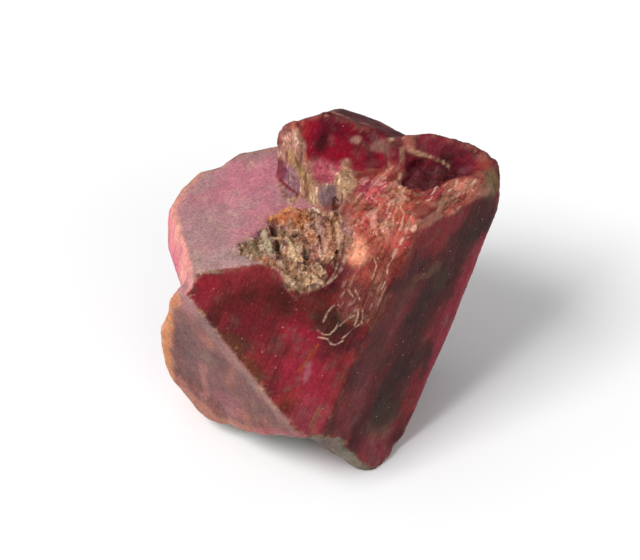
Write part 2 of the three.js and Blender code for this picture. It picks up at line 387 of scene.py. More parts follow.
# Curved broken shells that stand out as pale threads: the face they lie on, points, half width and height.
threads = [
    ("front", [(1.4, -4.8, 4.4), (1.9, -5.2, 3.8), (2.2, -5.7, 3.2), (2.2, -6.1, 2.7), (1.9, -6.6, 2.1)],
     0.07, 0.06),
    ("front", [(2.0, -4.8, 4.3), (2.4, -5.2, 3.6), (2.6, -5.8, 3.0), (2.5, -6.5, 2.3)], 0.06, 0.05),
    ("front", [(1.1, -4.9, 4.2), (0.8, -5.2, 3.9), (0.6, -5.6, 3.4)], 0.07, 0.05),
    ("front", [(0.7, -6.7, 2.2), (1.3, -6.4, 2.6), (1.9, -6.1, 2.8)], 0.05, 0.05),
    ("front", [(-1.1, -6.9, 1.9), (-0.6, -7.1, 1.6), (-0.1, -7.1, 1.6), (0.4, -6.8, 2.0), (0.6, -6.5, 2.4)],
     0.055, 0.05),
    ("front", [(-1.0, -7.2, 1.4), (-0.3, -7.3, 1.3), (0.0, -7.6, 1.0), (0.4, -7.6, 0.9), (1.0, -7.4, 1.2)],
     0.06, 0.06),
    ("front", [(0.9, -7.3, 1.3), (1.6, -6.9, 1.8), (2.3, -6.5, 2.2)], 0.05, 0.05),
    ("front", [(-0.6, -6.5, 2.5), (-0.3, -6.1, 3.0), (0.1, -5.8, 3.4), (0.4, -5.7, 3.5)], 0.08, 0.06),
    ("front", [(1.2, -2.8, 6.3), (1.0, -3.6, 5.9), (0.4, -4.5, 5.4), (-0.6, -4.9, 5.0)], 0.13, 0.12),
    ("front", [(0.6, -3.4, 6.2), (0.3, -4.2, 5.6), (-0.2, -4.7, 5.2)], 0.08, 0.06),
    ("front", [(5.0, -3.6, 6.9), (5.8, -2.8, 8.1), (6.2, -2.3, 8.8)], 0.14, 0.12),
    ("terrace", [(5.1, 2.6, 8.8), (5.5, 1.6, 8.9), (5.1, 0.2, 9.1), (5.4, -0.8, 9.3), (4.9, -2.0, 8.8)],
     0.08, 0.06),
    ("terrace", [(6.3, 3.2, 8.8), (5.8, 2.3, 8.9), (6.1, 1.0, 9.1), (5.7, -0.4, 9.2), (6.0, -1.4, 9.0),
      (5.6, -2.3, 8.6)], 0.10, 0.10),
    ("terrace", [(4.6, 1.5, 9.0), (4.9, 0.4, 9.1), (4.5, -0.7, 9.2), (4.7, -1.3, 9.0), (4.2, -2.0, 8.7)],
     0.07, 0.06),
    ("terrace", [(3.3, 1.5, 9.0), (4.0, 0.6, 9.1), (3.8, -0.5, 9.2), (3.4, -1.1, 9.0), (3.6, -1.8, 8.9)],
     0.07, 0.05),
    ("front", [(5.2, -3.4, 7.0), (4.6, -3.9, 6.2), (4.5, -4.5, 5.3), (4.1, -5.0, 4.6)], 0.05, 0.05),
    ("front", [(3.3, -3.1, 6.9), (3.7, -3.8, 6.1), (3.3, -4.6, 5.1)], 0.05, 0.05),
    ("crown", [(-8.4, 3.5, 5.6), (-7.7, 2.7, 5.7), (-7.0, 2.9, 5.7)], 0.06, 0.05),
    ("crown", [(-7.5, 2.3, 5.8), (-6.8, 2.9, 5.8), (-6.6, 3.6, 5.7)], 0.06, 0.05),
]

# Loose shards in the host rock: the face they lie on, points, half width and height in mm, colour.
shards = [
    ("crown", [(-5.5, -0.4, 6.5), (-5.1, -2.0, 6.8), (-4.7, -3.1, 6.7)], 0.26, 0.42, "a09478"),
    ("crown", [(-6.4, -1.2, 6.4), (-6.1, -2.4, 6.4)], 0.22, 0.25, "8c7a60"),
    ("crown", [(-1.7, 3.0, 6.5), (-0.8, 2.7, 6.6), (0.1, 1.9, 7.2)], 0.30, 0.34, "dcc8a4"),
    ("crown", [(-4.9, 1.7, 6.2), (-4.0, 2.5, 6.2), (-2.9, 2.7, 6.3)], 0.34, 0.42, "c88c60"),
    ("crown", [(-3.9, 1.7, 6.3), (-2.9, 1.4, 6.5)], 0.42, 0.30, "b0603a"),
    ("crown", [(-1.0, 0.2, 7.1), (-0.5, -1.6, 7.3), (-0.3, -2.8, 7.2)], 0.26, 0.26, "b08878"),
    ("crown", [(0.5, -0.4, 7.8), (0.7, -1.8, 7.6), (0.6, -2.9, 7.0)], 0.22, 0.22, "c49c80"),
    ("crown", [(-3.6, -1.4, 7.0), (-3.0, -2.8, 7.1), (-2.8, -3.8, 6.8)], 0.24, 0.28, "c4aa84"),
    ("front", [(-3.9, -4.9, 6.0), (-3.2, -5.2, 5.6), (-2.4, -5.3, 5.3)], 0.26, 0.24, "a08468"),
    ("front", [(-1.6, -4.8, 6.0), (-1.0, -5.0, 5.5), (-0.4, -5.0, 5.2)], 0.20, 0.22, "c0a080"),
]

# Places where worn edges stand further out than the faces beside them: centre, half sizes and gain in mm.
fuller = [
    ((-7.0, 11.4, 5.2), (6.0, 1.8, 1.6), 0.36),
    ((-4.0, 9.0, 9.6), (1.4, 1.8, 2.6), 0.34),
    ((-13.6, -2.0, -3.0), (1.2, 1.6, 6.0), 0.22),
    ((-11.6, -3.2, -9.6), (3.4, 3.0, 2.0), 0.34),
    ((-6.4, -7.8, -8.8), (3.0, 2.6, 1.8), 0.20),
    ((3.6, -8.4, -12.0), (2.4, 2.0, 1.6), 0.30),
    ((2.6, 9.0, 11.2), (3.0, 1.6, 1.6), 0.14),
    ((11.6, 5.0, 9.4), (4.0, 2.4, 3.6), 0.15),
]

# Holes in the host rock: centre and half sizes in mm, seed.
rockHoles = [
    ((-2.7, -0.9, 7.0), (0.50, 0.30, 0.8), 95),
    ((-2.0, -3.2, 7.0), (0.34, 0.55, 0.8), 96),
]

# Crevices in it: points, half width in mm, raggedness, seed.
rockCrevices = [
    ([(-5.1, 1.5, 6.3), (-4.7, 0.6, 6.4), (-4.4, -0.6, 6.5)], 0.22, 0.4, 97),
    ([(-4.9, 1.2, 6.3), (-4.6, -0.3, 6.4), (-4.4, -2.2, 6.8), (-4.2, -3.0, 6.9)], 0.24, 0.6, 98),
]

# The orange lump beside the host rock and the knob above the hollow: centre and half sizes in mm.
lumpPlace = (2.2, -2.8, 6.8), (0.85, 1.0, 1.2)
knobPlace = (6.5, 6.4, 10.5), (0.5, 0.6, 0.6)

# Ridges that frame the hollow: points, half width in mm, raggedness, seed, share of the full height.
ridges = [
    ([(6.6, 6.0, 10.1), (7.8, 5.8, 9.7), (9.0, 5.6, 9.4), (9.9, 5.3, 8.9)], 0.20, 0.8, 149, 1.0),
    ([(5.9, 6.2, 10.3), (5.9, 5.6, 9.4), (5.9, 4.8, 8.6), (5.8, 2.7, 8.8)], 0.18, 0.7, 150, 0.6),
]


def raised(p, n, height):
    return p + n * height[:, None]


def wornEdges(p, pairs, n, shape, quiet):
    # rounds edges, which are where a smoothed copy of the surface lies inside the real one, and chips them
    pull = relaxed(p, pairs, 8) - p
    sharp = -np.einsum("ij,ij->i", pull, n)
    wear = 0.4 + shape["edgeWear"] * smooth(0.4, 0.7, clouds(p, 1.0, 30, 3))
    p = p + pull * (smooth(0.012, 0.05, sharp) * wear)[:, None]
    broad = relaxed(p, pairs, 24) - p
    edge = smooth(0.04, 0.18, -np.einsum("ij,ij->i", broad, n)) * quiet
    edge = relaxed(edge[:, None], pairs, 4)[:, 0]
    chips = smooth(0.56, 0.70, clouds(p, shape["chipSize"], 40, 4, 0.6)) * edge
    nicks = smooth(0.54, 0.70, clouds(p, shape["nickSize"], 45, 3, 0.7)) * edge
    p = raised(p, n, -(chips * shape["chipDepth"] + nicks * shape["nickDepth"]))
    return raised(p, n, edge * shape["edgeGain"]), edge


def growthRelief(p, shape):
    # height of the growth faces: slow swells, growth lines and small pits
    swell = (clouds(p, shape["swellSize"], 50, 3) - 0.5) * 2 * shape["faceSwell"]
    for centre, radii, gain in fuller:
        swell += within(p, centre, radii, 0, edge=0.3) * gain
    lines = fibres(p, shape["lineLength"], shape["lineWidth"], 55, 3)
    pits = smooth(0.70, 0.80, clouds(p, shape["pitSize"], 60, 2))
    return swell + (lines - 0.5) * 2 * shape["growthLines"] - pits * shape["pitDepth"]


def rockRelief(p, shape, ground):
    # height of the host rock: lumps, splinters across the growth lines, leaning chips and a few deep holes
    coarse, ground["rockNumber"] = plates(drawnOut(p, splinterFrame, 0.5), shape["rockPlateSize"], 70)
    fine, ground["chipNumber"] = plates(drawnOut(p, growthFrame, 0.5), shape["rockChipSize"], 85)
    splinters = fibres(p, 1.6, 0.4, 80, 3, splinterFrame)
    hole = np.maximum.reduce(
        [within(p, centre, radii, 0.2, 0.6, seed, 0.35) for centre, radii, seed in rockHoles] +
        [beside(p, line, width, ragged, 0.6, seed) for line, width, ragged, seed in rockCrevices])
    relief = (clouds(p, 1.3, 75, 3) - 0.5) * 2 * shape["rockLumps"]
    relief += (splinters - 0.5) * 2 * shape["rockSplinters"] + (coarse + fine) * shape["rockPlates"]
    ground.update(hole=hole, splinters=splinters)
    return relief - hole * shape["holeDepth"]


def crustRelief(p, shape, ground):
    # height of the iron-stained ground: low plates that lean on each other, and fine strands
    upper = smooth(7.2, 8.4, p[:, 2])
    coarse, ground["plateNumber"] = plates(drawnOut(p, growthFrame, 0.5), shape["crustPlateSize"], 100)
    fine, ground["shardNumber"] = plates(drawnOut(p, shardFrame, 0.28), shape["crustShardSize"], 115)
    strands = fibres(p, 1.8, 0.22, 125, 2) * (1 - upper) + fibres(p, 1.8, 0.22, 127, 2, shardFrame) * upper
    lump = within(p, *lumpPlace, 0.15, 0.8, 128, 0.5)
    relief = (clouds(p, 2.0, 105, 2) - 0.5) * 2 * shape["crustLumps"] * (0.5 + 0.5 * upper)
    relief += (coarse + fine * 2.0 * upper) * shape["crustPlates"] + (strands - 0.5) * shape["crustStrands"]
    ground.update(strands=strands, lump=lump, upper=upper, shardHeight=fine * 2.0 * shape["crustPlates"])
    return relief + lump * shape["crustLump"]


def stepRelief(p, shape, ground):
    # height of the ribbed step behind the crown
    ribs = clouds(p * np.array([1, 0.3, 0.3]), 0.4, 140, 3, 0.7)
    facet = np.maximum.reduce([within(p, centre, radii, 0.2, 0.7, 62, 0.2) for centre, radii in stepFacets])
    ground.update(ribs=ribs, ribbed=1 - 0.75 * facet)
    return (ribs - 0.5) * shape["ribs"] * ground["ribbed"]


def hollowRelief(p, shape, ground):
    # the floor of the hollow lies deep, with the shards of the ground round it
    return ground["shardHeight"] - (0.8 + 0.4 * clouds(p, 0.9, 145, 3)) * shape["hollowDepth"]


def shapeCluster(piece, shape):
    mesh = piece.data
    pairs = edgesOf(mesh)
    p = relaxed(pointsOf(mesh), pairs, 1)
    p = melted(p, pairs, within(p, *meltedFoot, 0, edge=0.25), shape["meltRounds"])
    setPoints(mesh, p)
    n = normalsOf(mesh)
    ground = regionsOf(p)
    quiet = 1 - np.clip(ground["rock"] + ground["crust"] + ground["riser"], 0, 1)

    p, ground["edge"] = wornEdges(p, pairs, n, shape, quiet)
    p = raised(p, n, growthRelief(p, shape) * quiet)
    reliefs = {"rock": rockRelief, "crust": crustRelief, "riser": stepRelief, "hollow": hollowRelief}
    for kind, relief in reliefs.items():
        p = raised(p, n, relief(p, shape, ground) * ground[kind])

    ground["knob"] = within(p, *knobPlace, 0.15, 0.6, 148, 0.5)
    ground["ridge"] = np.maximum.reduce([
        beside(p, line, width, ragged, 0.5, seed) * share for line, width, ragged, seed, share in ridges])
    p = raised(p, n, ground["knob"] * shape["knob"] + ground["ridge"] * shape["ridges"])

    ground["shards"] = []
    for seed, (face, line, width, height, colour) in enumerate(shards):
        shard = beside(p, line, width, 0.35, 0.5, 180 + seed, face) * (ground["rock"] > 0.3)
        ground["shards"].append(shard)
        p = raised(p, n, shard * height)

    ground["thread"] = np.zeros(len(p))
    for seed, (face, line, width, height) in enumerate(threads):
        thread = beside(p, line, width, 0.3, 0.4, 155 + seed, face)
        ground["thread"] = np.maximum(ground["thread"], thread)
        p = raised(p, n, thread * height)
    p[:, 2] = np.maximum(p[:, 2], -growth["base"][2])   # nothing reaches below the resting face
    setPoints(mesh, p)
    settled(mesh, pairs, shape["settleRounds"])
    return ground


# Each face: two tones of it, how much of the second runs in lines, and the size of its blotches in mm.
faceTones = {
    "front": ("762126", "4a191c", 0.4, 1.8),
    "right": ("6e2225", "451a1c", 0.3, 2.2),
    # painted reflection: the pale mauve of the left face, crown and shoulder is partly floor and room haze
    # laid into the tone
    "left": ("905e54", "704c4a", 0.3, 2.4),
    "crown": ("b0707a", "a2787b", 0.2, 2.8),
    "terrace": ("8e3c32", "6e2e2a", 0.5, 1.6),
    "wall": ("820722", "56071b", 0.3, 1.6),
    "cornerWall": ("72202c", "4c121c", 0.3, 1.6),
    "shoulder": ("dc9288", "c86e78", 0.8, 2.0),
    "rimLeft": ("c86874", "a85a62", 0.4, 2.0),
    "rimTop": ("b8746a", "a06a62", 0.4, 2.0),
    "wallBack": ("6a2228", "481a20", 0.4, 2.4),
    "cornerBack": ("601c2c", "441420", 0.4, 2.2),
    "backUpper": ("7a2c3a", "5a2430", 0.5, 2.6),
    "backLower": ("703040", "54262e", 0.5, 2.6),
    "backUnder": ("84404c", "643040", 0.5, 3.0),
    "backUnderRight": ("7c3a44", "5c2c36", 0.5, 3.0),
    "backUnderLeft": ("946068", "74505c", 0.4, 2.6),
    "backLeft": ("9c6870", "7a525e", 0.4, 2.8),
    "backLeftStep": ("946068", "74505c", 0.4, 2.4),
    "rightUnder": ("5e2a2e", "402228", 0.6, 2.6),
    # painted reflection: the grey-green of the underside by the front and of both slivers stands in for the
    # pale floor seen in them
    "frontUnder": ("7c7864", "5c5a4c", 0.3, 2.0),
    "leftUnder": ("b07860", "8c6458", 0.3, 2.0),
    "waist": ("a06a6c", "805a60", 0.3, 2.0),
    "waistUnder": ("a8686c", "80545c", 0.3, 2.0),
    "sliver": ("7e7866", "5a564a", 0.3, 1.6),
    "sliverLeft": ("7c6c62", "5c5048", 0.3, 1.6),
    "edgeRight": ("742a3a", "4e2228", 0.5, 2.0),
    "wallTop": ("641a20", "44141a", 0.4, 1.6),
    "cornerTop": ("60202e", "401824", 0.4, 1.8),
    "base": ("8c6a64", "6c5450", 0.2, 3.0),
}
plainTone = "74282e"

# Patches of colour: what it is, colour, centre, half sizes in mm, strength, raggedness, face it keeps to.
patches = [
    ("brown under the rock", "48160f", (-2.6, -5.8, 4.2), (6.4, 1.5, 1.7), 0.6, 0.4, "front"),
    ("glow beside the threads", "8a182e", (-2.1, -7.0, 1.7), (1.5, 1.2, 1.7), 0.75, 0.5, "front"),
    ("glow below", "8e2034", (-2.4, -8.9, -1.4), (2.3, 1.9, 2.6), 0.7, 0.5, "front"),
    ("pink foot of the front", "923a48", (-1.7, -10.6, -3.9), (1.4, 1.3, 1.6), 0.5, 0.5, "front"),
    ("crimson corner", "8e1a2a", (-10.2, -4.9, 5.0), (1.0, 1.0, 1.1), 0.6, 0.45, "front"),
    ("crimson spot", "8e2030", (-10.7, -5.4, 3.7), (0.9, 0.8, 0.9), 0.6, 0.35, "front"),
    ("red middle of the front", "7c1826", (-6.6, -6.6, 2.4), (2.2, 1.4, 1.8), 0.35, 0.5, "front"),
    ("dark ground by the threads", "34180f", (0.3, -6.5, 2.5), (1.5, 1.1, 1.9), 0.8, 0.5),
    ("brown ground beside it", "4c1c16", (-1.4, -6.2, 3.4), (1.6, 1.0, 1.4), 0.5, 0.5),
    ("rust near the foot", "74301c", (-3.3, -10.0, -3.0), (1.1, 0.9, 1.0), 0.4, 0.7, "front"),
    ("grey front of the crown", "9c8880", (-8.0, -3.1, 6.2), (3.9, 1.7, 1.2), 0.6, 0.5, "crown"),
    ("grey middle of the crown", "a07c7c", (-9.4, 1.6, 5.6), (2.2, 2.6, 1.6), 0.3, 0.7, "crown"),
    ("pink back of the crown", "b86c7e", (-6.4, 7.0, 5.6), (2.4, 2.6, 1.4), 0.35, 0.6),
    ("plum heart of the left face", "62484c", (-11.6, -4.0, -2.2), (1.7, 1.7, 2.6), 0.7, 0.4, "left"),
    ("green stain", "807660", (-10.2, -5.4, -2.6), (0.8, 0.7, 0.8), 0.3, 0.9),
    ("pink foot of the left face", "a4606c", (-8.6, -6.2, -7.0), (1.3, 1.2, 1.2), 0.4, 0.8),
    ("rose top of the left face", "b07a80", (-11.6, -4.8, 3.4), (1.2, 1.2, 1.6), 0.5, 0.35, "left"),
    ("orange chip", "cc7c4c", (-12.9, -4.0, 3.0), (0.9, 0.9, 1.3), 0.7, 0.4),
    ("deep foot of the shoulder", "c45c74", (-13.2, 0.0, 3.2), (0.9, 2.2, 1.0), 0.6, 0.4),
    ("plum by the right edge", "58242c", (6.6, -2.9, 5.4), (1.0, 1.0, 1.5), 0.25, 0.4, "right"),
    ("red upper right face", "80282c", (9.4, -0.1, 7.5), (4.4, 3.4, 2.0), 0.7, 0.4, "right"),
    ("crimson tip", "8c3642", (3.6, -8.0, -11.0), (2.0, 2.0, 2.6), 0.6, 0.5, "right"),
    ("olive blotch", "62502e", (9.0, -1.1, 2.2), (0.9, 0.9, 1.0), 0.5, 0.5),
    ("olive blotch below", "665a40", (4.4, -7.0, -7.8), (1.7, 1.5, 1.6), 0.45, 0.9),
    ("olive corner", "80704c", (13.1, 3.8, 8.2), (0.9, 1.2, 1.1), 0.7, 0.4),
    ("black heart of the wall", "22060a", (-0.7, 7.3, 10.0), (0.6, 0.7, 0.9), 0.75, 0.5),
    ("rust edge of the wall", "983428", (-2.4, 7.8, 10.8), (0.5, 0.7, 0.8), 0.35, 0.6),
    ("pale fleck of the wall", "ac8c7c", (2.1, 7.4, 10.2), (0.42, 0.34, 0.34), 0.55, 0.9),
    ("pale flecks beside it", "94786a", (3.8, 7.0, 9.8), (0.8, 0.42, 0.45), 0.45, 1.6),
    ("grey flecks above them", "785658", (4.3, 7.3, 10.6), (1.0, 0.5, 0.5), 0.45, 1.4),
    ("crimson corner wall", "74182e", (11.6, 5.2, 9.0), (1.0, 0.8, 0.9), 0.4, 0.5),
    ("rust of the corner", "a84c34", (12.6, 5.2, 9.4), (0.6, 0.7, 0.7), 0.5, 0.5),
]

# Stains and veins along lines: what it is, colour, points on it, half width in mm, strength, raggedness.
stains = [
    ("dark band of the right face", "2c1b1b",
     [(12.7, 2.9, 6.1), (10.3, 0.2, 3.4), (8.2, -2.1, 0.9), (6.6, -4.0, -1.1), (5.9, -5.0, -4.0),
      (4.5, -6.9, -7.4)], 2.1, 0.76, 0.2, "right"),
    ("olive border of the dark band", "6c5038",
     [(8.8, -1.1, 3.6), (6.9, -2.8, 3.9), (5.8, -3.9, 2.5), (5.2, -4.5, 1.4)], 0.35, 0.45, 1.4, "right"),
    # painted highlight: the thin pale line where the edge above the wall catches the light
    ("pale line above the wall", "b88274", [(0.2, 9.0, 11.7), (1.8, 8.5, 11.2), (3.4, 8.3, 10.7)],
     0.15, 0.9, 0.2),
    ("red rim of the right face", "8c2a3c",
     [(12.8, 2.6, 2.6), (12.0, 1.6, 1.0), (10.1, -0.9, -3.5), (8.2, -2.6, -7.6), (6.0, -4.6, -12.5)],
     1.5, 0.7, 0.4),
    ("brown top of the right face", "a06a56", [(7.2, -2.0, 8.8), (9.6, 0.4, 8.6), (12.8, 3.4, 8.2)],
     0.55, 0.7, 0.6),
    ("brown strip by the front edge", "6c3438",
     [(6.0, -4.3, 3.0), (3.6, -7.1, -1.2), (1.6, -9.4, -5.8)], 1.3, 0.5, 0.3),
    ("brown ground beside the band", "48241f",
     [(6.0, -3.8, 3.5), (4.8, -5.0, 2.6), (3.4, -7.0, -1.3)], 1.2, 0.5, 0.4, "right"),
    ("rust line on the front edge", "7c4228",
     [(4.2, -5.6, 3.4), (3.2, -6.6, 1.8)], 0.4, 0.5, 0.7),
    ("tan line on the front edge", "80583c",
     [(-0.9, -10.4, -3.4), (-1.6, -11.2, -4.8)], 0.18, 0.5, 0.9),
    ("rust vein", "90401e", [(-1.1, -7.6, 0.9), (-1.8, -8.1, 0.0), (-2.5, -8.7, -0.9)], 0.16, 0.6, 0.8),
    ("pale vein", "9c6c7c", [(-1.7, -8.4, -0.4), (-2.1, -9.2, -1.8)], 0.2, 0.3, 0.9),
    ("olive line on the left edge", "4e341c",
     [(-8.2, -7.3, 1.2), (-6.9, -8.3, -0.4), (-5.4, -9.3, -2.4)], 0.7, 0.55, 0.9, "front"),
    ("mauve border of the left face", "8c6c6c",
     [(-11.6, -5.5, 3.4), (-8.4, -7.9, -0.4), (-5.4, -10.0, -3.4), (-3.0, -11.6, -5.4)],
     0.8, 0.5, 0.4, "left"),
    ("salmon streak", "a87068", [(-10.6, -4.9, -3.9), (-10.5, -4.6, -6.6), (-10.4, -4.3, -8.9)],
     0.5, 0.45, 0.7),
    ("orange rim of the left face", "c8804e",
     [(-13.4, -3.2, 1.4), (-14.0, -2.3, -2.3), (-13.8, -1.6, -7.3)], 0.95, 0.8, 0.6),
    ("orange rim underneath", "b47460",
     [(-13.7, -1.6, -7.5), (-9.3, -5.0, -10.6), (-6.0, -8.2, -8.4)], 0.9, 0.6, 0.7),
    ("red rim at the foot", "a45860", [(-6.0, -8.4, -8.2), (-2.4, -11.8, -5.7)], 0.6, 0.6, 0.4),
    ("peach rim of the crown", "d48e78", [(-11.6, -3.6, 5.8), (-12.6, 1.0, 5.4), (-13.0, 5.2, 5.0)],
     0.35, 0.6, 0.7),
    ("orange rim behind the crown", "b08058", [(-11.1, 9.4, 5.0), (-7.5, 11.2, 5.2), (-3.6, 12.0, 5.5)],
     0.4, 0.5, 0.8),
    ("peach corner of the crown", "cc8870", [(-13.0, 5.4, 4.9), (-11.3, 9.3, 5.0)], 0.6, 0.5, 0.7),
    ("tan edge under the rock", "a89078", [(-11.0, -4.3, 6.0), (-5.4, -4.6, 6.3)], 0.25, 0.5, 0.6),
    ("pink cut of the corner", "b8868a", [(-11.4, -4.6, 5.9), (-12.2, -4.6, 4.3)], 0.6, 0.7, 0.3),
    ("rust edge of the wall", "a85038", [(-3.2, 8.1, 11.3), (-2.6, 6.9, 9.5), (-1.8, 6.2, 8.3)],
     0.3, 0.6, 0.5),
]

# Minerals of the broken ground: colour and the share of the plates that have it.
crustTones = [
    ("b0584a", 0.24), ("7c2e28", 0.20), ("c4806a", 0.14), ("a03644", 0.14), ("a84034", 0.14),
    ("94745a", 0.06), ("d0a090", 0.08),
]
rockTones = [
    ("8c664c", 0.28), ("b2826a", 0.22), ("683e30", 0.18), ("d0aa84", 0.12), ("7c5660", 0.10),
    ("9c5438", 0.04), ("74684c", 0.06),
]

# Zones of the iron-stained ground: what it is, colour, centre and half sizes in mm, strength.
crustZones = [
    ("brown slope beside the front edge", "702a20", (4.4, -4.0, 5.8), (1.8, 1.8, 2.2), 0.95),
    ("dark ground round the threads", "542a22", (2.9, -5.8, 3.6), (2.4, 1.9, 2.2), 0.9),
    ("dark corner by the right face", "4c2420", (3.6, -5.9, 3.0), (0.9, 0.9, 1.1), 0.6),
    ("brown ground under the rock", "642a26", (1.6, -4.9, 4.4), (1.5, 1.3, 1.7), 0.8),
    ("rust beside the rock", "84443c", (1.2, -3.2, 6.2), (0.8, 1.4, 1.2), 0.6),
    ("tan middle", "a8644c", (4.6, -1.6, 8.4), (1.6, 1.4, 1.0), 0.7),
    ("pink under the wall", "c0445a", (3.3, 2.5, 8.8), (1.4, 1.9, 0.9), 0.85),
    ("red flake", "a43a30", (4.0, 0.6, 9.0), (1.0, 0.8, 0.7), 0.6),
    ("orange strip", "b87450", (5.5, 0.8, 9.2), (0.8, 2.4, 0.8), 0.5),
    ("plum behind the step", "6a2c44", (3.0, 3.8, 8.6), (0.6, 1.3, 0.6), 0.6),
    ("buff border of the rock", "a87c64", (1.4, -0.2, 8.4), (1.0, 1.6, 1.0), 0.7),
    ("brown beside it", "94644c", (2.6, -0.4, 8.4), (1.2, 1.2, 0.9), 0.5),
    ("red brown of the terrace", "7a2620", (8.6, 1.4, 9.2), (2.6, 1.6, 1.0), 0.95),
    ("rose by the hollow", "90404a", (8.2, 1.9, 9.1), (1.7, 0.7, 0.7), 0.7),
    ("olive front of the terrace", "8c7048", (8.2, 0.1, 9.1), (1.8, 0.6, 0.8), 0.4),
    ("salmon corner", "bc7460", (11.4, 2.6, 9.0), (1.4, 1.2, 1.0), 0.6),
    ("rust top of the front edge", "b85c4a", (6.4, -1.5, 9.0), (1.0, 1.2, 0.8), 0.7),
]

# Zones of the host rock, in the same way.
rockZones = [
    ("rust at the top", "b0643c", (-3.6, 2.0, 6.3), (1.6, 1.0, 0.7), 0.85),
    ("rust beside it", "b0683c", (-2.4, 1.0, 6.7), (0.8, 0.9, 0.7), 0.7),
    ("ochre by the step", "b88450", (-1.4, 3.2, 6.8), (0.9, 0.9, 0.7), 0.7),
    ("pale splinter", "d8c4a4", (-1.2, 2.6, 6.6), (0.9, 0.35, 0.5), 0.8),
    ("dark red edge", "6c3c34", (-4.9, 0.8, 6.4), (0.8, 1.1, 0.6), 0.7),
    ("grey shard", "a89c84", (-5.2, -1.8, 6.8), (0.4, 1.3, 0.6), 0.7),
    ("grey brown corner", "806850", (-6.6, -2.0, 6.4), (1.6, 1.3, 0.8), 0.7),
    ("buff foot", "9c7c5c", (-2.9, -5.1, 5.6), (0.9, 0.5, 0.7), 0.5),
    ("orange brown right side", "ac7050", (-0.4, -1.8, 7.3), (1.5, 2.6, 1.2), 0.6),
    ("pink brown patch", "9c6458", (-1.0, -3.0, 7.1), (0.7, 1.0, 0.8), 0.7),
    ("mauve patch", "7c5058", (-0.8, -0.6, 7.2), (0.6, 0.9, 0.8), 0.5),
    ("brown right foot", "8c5c50", (0.2, -4.2, 6.0), (0.7, 1.0, 1.0), 0.6),
    ("dark buff left foot", "785a40", (-4.7, -4.1, 6.2), (1.2, 0.8, 0.7), 0.6),
]

# Zones of the step behind the crown, in the same way.
stepZones = [
    ("salmon end of the wall", "b48070", (-3.7, 7.9, 9.3), (1.2, 1.2, 1.7), 0.7),
    ("pale top of it", "dca08c", (-3.7, 8.3, 10.4), (0.9, 0.9, 0.9), 0.85),
    ("mauve facet", "865e68", (-3.2, 6.2, 6.7), (1.1, 1.6, 1.0), 0.9),
    ("plum edge", "702a46", (-4.1, 7.4, 6.8), (0.5, 0.9, 0.8), 0.8),
    ("crimson facet", "9c3c50", (-0.4, 5.8, 8.2), (1.3, 1.4, 1.4), 0.85),
    ("grey facet", "644e56", (-0.1, 3.0, 7.6), (1.0, 1.3, 0.8), 0.85),
    ("buff ribs", "a4805f", (1.2, 3.9, 8.3), (0.8, 2.4, 0.9), 0.75),
]

# Smooth facets of the step, without ribs: centre and half sizes in mm.
stepFacets = [
    ((-3.3, 6.7, 6.8), (0.9, 1.5, 1.0)),
    ((-0.6, 5.8, 8.3), (1.2, 1.5, 1.5)),
    ((-0.4, 3.0, 7.7), (0.9, 1.1, 0.8)),
]

# Lines that the paint follows: the front's left edge, the ochre of the step and its dark foot.
ochreEdge = [(-10.8, -6.0, 3.2), (-8.7, -7.1, 1.6), (-7.1, -8.3, -0.2), (-4.6, -10.2, -3.8)]
ochreStep = [(-3.3, 7.6, 8.6), (-2.5, 6.4, 7.7), (-1.8, 5.0, 7.3), (-1.3, 3.6, 6.9)]
darkFoot = [(-4.2, 7.2, 6.0), (-3.4, 6.0, 6.0), (-2.3, 4.7, 6.2)]

clusterPaint = {
    "bruises": 0.35,            # strength of the pale powder on worn edges
    "flecks": 0.5,              # of the paler flecks on them
    "ochreEdge": 0.5,
    "threads": 0.65,
    "mottling": 0.6,            # light and dark over all
    "browning": 0.45,           # brown clouds on the growth faces
    "brown": (1.5, 0.95, 0.7),  # how red, green and blue stand to the mean there
}


def flat(hexColour, count):
    return np.tile(linear(hexColour), (count, 1))


def mixed(base, other, weight):
    return base + (other - base) * weight[:, None]


def blend(base, hexColour, weight):
    return mixed(base, linear(hexColour), weight)


def picked(number, tones):
    # the tone that each plate's number falls on
    limits = np.cumsum([share for colour, share in tones])[:-1]
    return np.array([linear(colour) for colour, share in tones])[np.searchsorted(limits, number)]


def zoned(tone, p, zones, ragged, grain, seed, edge):
    # lays a list of zones over a tone, one after the other
    for step, (name, colour, centre, radii, strength) in enumerate(zones):
        tone = blend(tone, colour, within(p, centre, radii, ragged, grain, seed + step, edge) * strength)
    return tone


def faceTone(p, n):
    # the growth faces, and how much of each face a point has
    weights = {}
    total = np.full(len(p), 0.02)
    tone = flat(plainTone, len(p)) * 0.02
    for seed, (face, (light, deep, drawn, size)) in enumerate(faceTones.items()):
        off = p @ normalOf(face) - growth[face][2]
        nearFace = np.exp(-(off / 0.3) ** 2) + 0.1 * np.exp(-(off / 1.0) ** 2)
        weight = smooth(0.80, 0.96, n @ normalOf(face)) * nearFace
        here = weight > 0.001
        q = p[here]
        lines = fibres(q, 3.5 * size, 0.35 * size, 260 + seed, 4)
        mix = (1 - drawn) * clouds(q, size, 220 + seed, 4) + drawn * lines
        shade = blend(flat(light, len(q)), deep, smooth(0.36, 0.64, mix))
        tone[here] += shade * weight[here, None]
        total += weight
        weights[face] = weight
    return tone / total[:, None], {face: weight / total for face, weight in weights.items()}


def stainedTone(tone, share, p):
    # patches and stains, some of them kept to one face
    for seed, (name, colour, centre, radii, strength, ragged, *face) in enumerate(patches):
        weight = within(p, centre, radii, ragged, 1.1, 300 + seed, 0.45) * strength
        tone = blend(tone, colour, weight * share[face[0]] if face else weight)
    for seed, (name, colour, line, width, strength, ragged, *face) in enumerate(stains):
        weight = beside(p, line, width, ragged, 1.0, 340 + seed) * strength
        tone = blend(tone, colour, weight * share[face[0]] if face else weight)
    return tone


